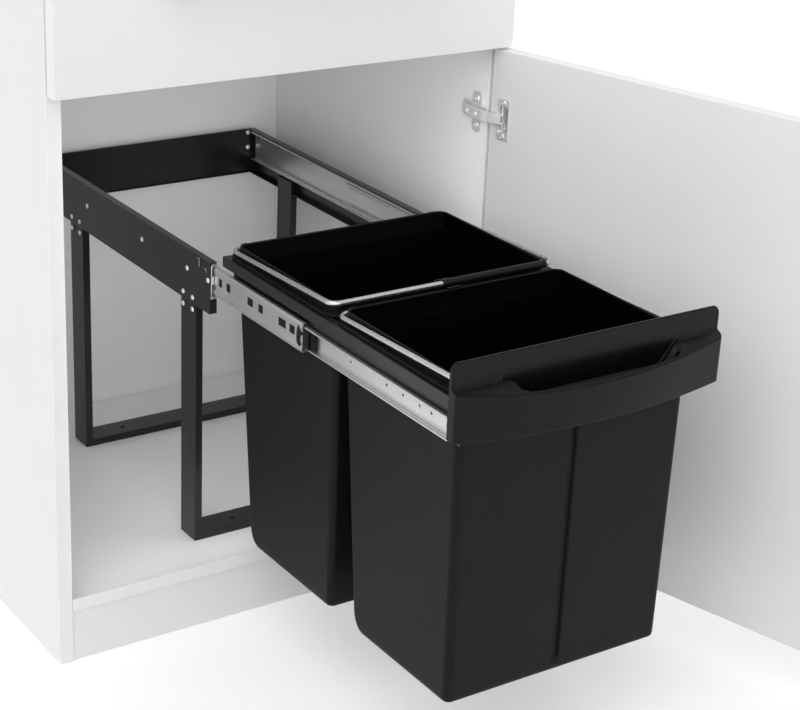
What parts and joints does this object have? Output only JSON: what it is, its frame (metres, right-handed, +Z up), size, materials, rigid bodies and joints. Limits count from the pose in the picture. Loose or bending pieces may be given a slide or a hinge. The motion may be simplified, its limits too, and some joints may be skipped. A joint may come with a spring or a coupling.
{
  "type": "pull-out waste bin cabinet",
  "caption": "Base kitchen cabinet with a drawer above a hinged door, and behind the door a pull-out carriage on telescopic slides that carries lift-out waste bins with wire bails.",
  "frame": {"origin": "centre of the plinth board's underside, on the floor, in metres", "axes": "+X to the right as seen from the front, +Y into the cabinet, +Z up; the drawer front and the pulled-out carriage face -Y"},
  "size_m": [0.7792, 1.0941, 0.87],
  "materials": {
    "white_board": "white melamine-faced board, satin",
    "back_board": "white lacquered fibreboard, matte",
    "brushed_handle": "brushed",
    "nickel_hinge": "nickel plated, bright",
    "zinc_slide": "zinc plated, satin",
    "black_steel": "black powder coat, satin",
    "bin_plastic": "black, fine matte grain",
    "panel_plastic": "black, satin",
    "bail_wire": "grey drawn wire, satin",
    "nylon": "black nylon"
  },
  "bodies": {
    "cabinet": {"side_panel_left": "white_board", "side_panel_right": "white_board", "base_panel": "white_board", "back_panel": "back_board", "plinth_board": "white_board", "top_rail_front": "white_board", "top_rail_rear": "white_board", "hinge_mounting_plate_upper": "nickel_hinge", "hinge_mounting_plate_lower": "nickel_hinge", "hinge_arm_upper": "nickel_hinge", "hinge_arm_lower": "nickel_hinge", "drawer_runner_fixed_left": "zinc_slide", "drawer_runner_fixed_right": "zinc_slide", "frame_plate_left": "black_steel", "frame_plate_right": "black_steel", "frame_plate_back": "black_steel", "leg_frame_front": "black_steel", "leg_frame_rear": "black_steel", "slide_outer_left": "zinc_slide", "slide_outer_right": "zinc_slide"},
    "door": {"door_panel": "white_board", "door_handle": "brushed_handle", "hinge_cup_upper": "nickel_hinge", "hinge_cup_lower": "nickel_hinge"},
    "drawer": {"drawer_front": "white_board", "drawer_inner_front": "white_board", "drawer_side_left": "white_board", "drawer_side_right": "white_board", "drawer_back": "white_board", "drawer_bottom": "back_board", "drawer_handle": "brushed_handle", "drawer_runner_moving_left": "zinc_slide", "drawer_runner_moving_right": "zinc_slide"},
    "carriage": {"carriage_rail_left": "black_steel", "carriage_rail_right": "black_steel", "carriage_cross_rear": "black_steel", "carriage_cross_middle": "black_steel", "carriage_cross_front": "black_steel", "handle_panel": "panel_plastic", "slide_inner_left": "zinc_slide", "slide_inner_right": "zinc_slide"},
    "middle_member_left": {"slide_middle_left": "zinc_slide", "slide_stop_left": "nylon"},
    "retainer_outer_left": {"ball_retainer_outer_left": "zinc_slide"},
    "retainer_inner_left": {"ball_retainer_inner_left": "zinc_slide"},
    "middle_member_right": {"slide_middle_right": "zinc_slide", "slide_stop_right": "nylon"},
    "retainer_outer_right": {"ball_retainer_outer_right": "zinc_slide"},
    "retainer_inner_right": {"ball_retainer_inner_right": "zinc_slide"},
    "bin_rear": {"bin_rear": "bin_plastic"},
    "bail_rear": {"bail_rear": "bail_wire", "bail_grip_rear": "nylon"},
    "bin_front": {"bin_front": "bin_plastic"},
    "bail_front": {"bail_front": "bail_wire", "bail_grip_front": "nylon"}
  },
  "joints": [
    {"name": "pull_out", "type": "slide", "parent": "cabinet", "child": "carriage", "axis": [0, -1, 0], "range_m": [-0.5, 0]},
    {"name": "door_hinge", "type": "hinge", "parent": "cabinet", "child": "door", "pos_m": [0.292, -0.0205, 0.37665], "axis": [0, 0, 1], "range_deg": [-17, 5]},
    {"name": "drawer_slide", "type": "slide", "parent": "cabinet", "child": "drawer", "axis": [0, 1, 0], "range_m": [-0.4, 0]},
    {"name": "bin_rear_lift", "type": "slide", "parent": "carriage", "child": "bin_rear", "axis": [0, 0, 1], "range_m": [0, 0.155]},
    {"name": "bin_front_lift", "type": "slide", "parent": "carriage", "child": "bin_front", "axis": [0, 0, 1], "range_m": [0, 0.38]},
    {"name": "bail_rear_pivot", "type": "hinge", "parent": "bin_rear", "child": "bail_rear", "pos_m": [0.0755, -0.0093, 0.484], "axis": [-1, 0, 0], "range_deg": [0, 60]},
    {"name": "bail_front_pivot", "type": "hinge", "parent": "bin_front", "child": "bail_front", "pos_m": [0.0755, -0.2403, 0.484], "axis": [-1, 0, 0], "range_deg": [0, 85]},
    {"name": "middle_member_left_slide", "type": "slide", "parent": "cabinet", "child": "middle_member_left", "axis": [0, -1, 0], "range_m": [-0.25, 0]},
    {"name": "retainer_outer_left_slide", "type": "slide", "parent": "cabinet", "child": "retainer_outer_left", "axis": [0, -1, 0], "range_m": [-0.125, 0]},
    {"name": "retainer_inner_left_slide", "type": "slide", "parent": "cabinet", "child": "retainer_inner_left", "axis": [0, -1, 0], "range_m": [-0.375, 0]},
    {"name": "middle_member_right_slide", "type": "slide", "parent": "cabinet", "child": "middle_member_right", "axis": [0, -1, 0], "range_m": [-0.25, 0]},
    {"name": "retainer_outer_right_slide", "type": "slide", "parent": "cabinet", "child": "retainer_outer_right", "axis": [0, -1, 0], "range_m": [-0.125, 0]},
    {"name": "retainer_inner_right_slide", "type": "slide", "parent": "cabinet", "child": "retainer_inner_right", "axis": [0, -1, 0], "range_m": [-0.375, 0]}
  ],
  "couplings": [
    {"joint": "middle_member_left_slide", "follows": "pull_out", "ratio": 0.5},
    {"joint": "retainer_outer_left_slide", "follows": "pull_out", "ratio": 0.25},
    {"joint": "retainer_inner_left_slide", "follows": "pull_out", "ratio": 0.75},
    {"joint": "middle_member_right_slide", "follows": "pull_out", "ratio": 0.5},
    {"joint": "retainer_outer_right_slide", "follows": "pull_out", "ratio": 0.25},
    {"joint": "retainer_inner_right_slide", "follows": "pull_out", "ratio": 0.75}
  ]
}
